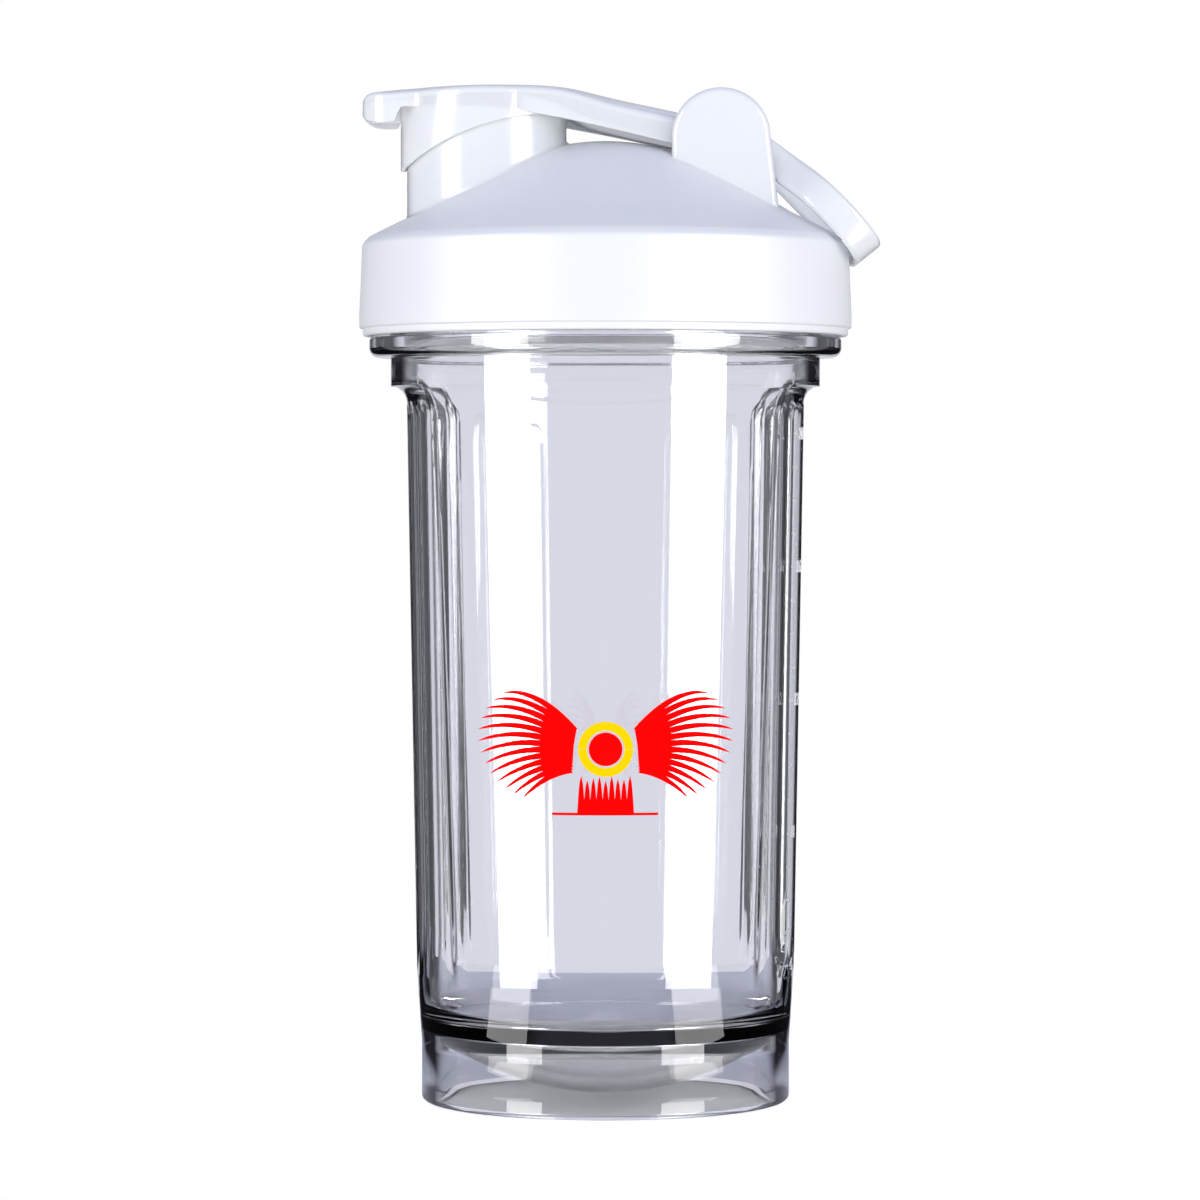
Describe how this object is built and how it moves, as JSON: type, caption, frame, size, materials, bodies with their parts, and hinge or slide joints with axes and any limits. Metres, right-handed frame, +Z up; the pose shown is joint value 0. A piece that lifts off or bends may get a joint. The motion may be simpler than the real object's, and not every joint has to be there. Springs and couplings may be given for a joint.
{
  "type": "protein shaker bottle",
  "caption": "Clear tapered shaker cup with side grips under a white screw lid with a covered spout, hinged flip cap, carry loop and mixing grid.",
  "frame": {"origin": "centre of the foot's rim, on the surface that the bottle stands on", "axes": "+Z up the bottle's axis, -X towards the drinking spout, +X towards the hinge and carry loop"},
  "size_m": [0.1057, 0.1, 0.2065],
  "materials": {
    "clear_plastic": "clear gloss",
    "white_plastic": "satin to gloss moulded",
    "pin_plastic": "satin",
    "silicone": "soft matte"
  },
  "bodies": {
    "cup": {"cup": "clear_plastic"},
    "seal_ring": {"lid_seal": "silicone"},
    "lid": {"lid": "white_plastic", "hinge_pin": "pin_plastic"},
    "flip_cap": {"flip_cap": "white_plastic", "spout_seal": "silicone"},
    "carry_loop": {"carry_loop": "white_plastic"},
    "mixing_grid": {"mixing_grid": "white_plastic"}
  },
  "joints": [
    {"name": "lid_lift", "type": "slide", "parent": "cup", "child": "seal_ring", "axis": [0, 0, 1], "range_m": [0, 0.01501]},
    {"name": "lid_turn", "type": "hinge", "parent": "seal_ring", "child": "lid", "pos_m": [0, 0, 0.1625], "axis": [0, 0, 1], "range_deg": [0, 1080]},
    {"name": "cap_flip", "type": "hinge", "parent": "lid", "child": "flip_cap", "pos_m": [0.0232, 0, 0.195], "axis": [0, 1, 0], "range_deg": [0, 135]},
    {"name": "loop_swing", "type": "hinge", "parent": "lid", "child": "carry_loop", "pos_m": [0.0232, 0, 0.195], "axis": [0, -1, 0], "range_deg": [0, 125]},
    {"name": "grid_release", "type": "slide", "parent": "lid", "child": "mixing_grid", "axis": [0, 0, -1], "range_m": [0, 0.012]}
  ],
  "couplings": [
    {"joint": "lid_lift", "follows": "lid_turn", "m_per_rad": 0.00079577}
  ]
}
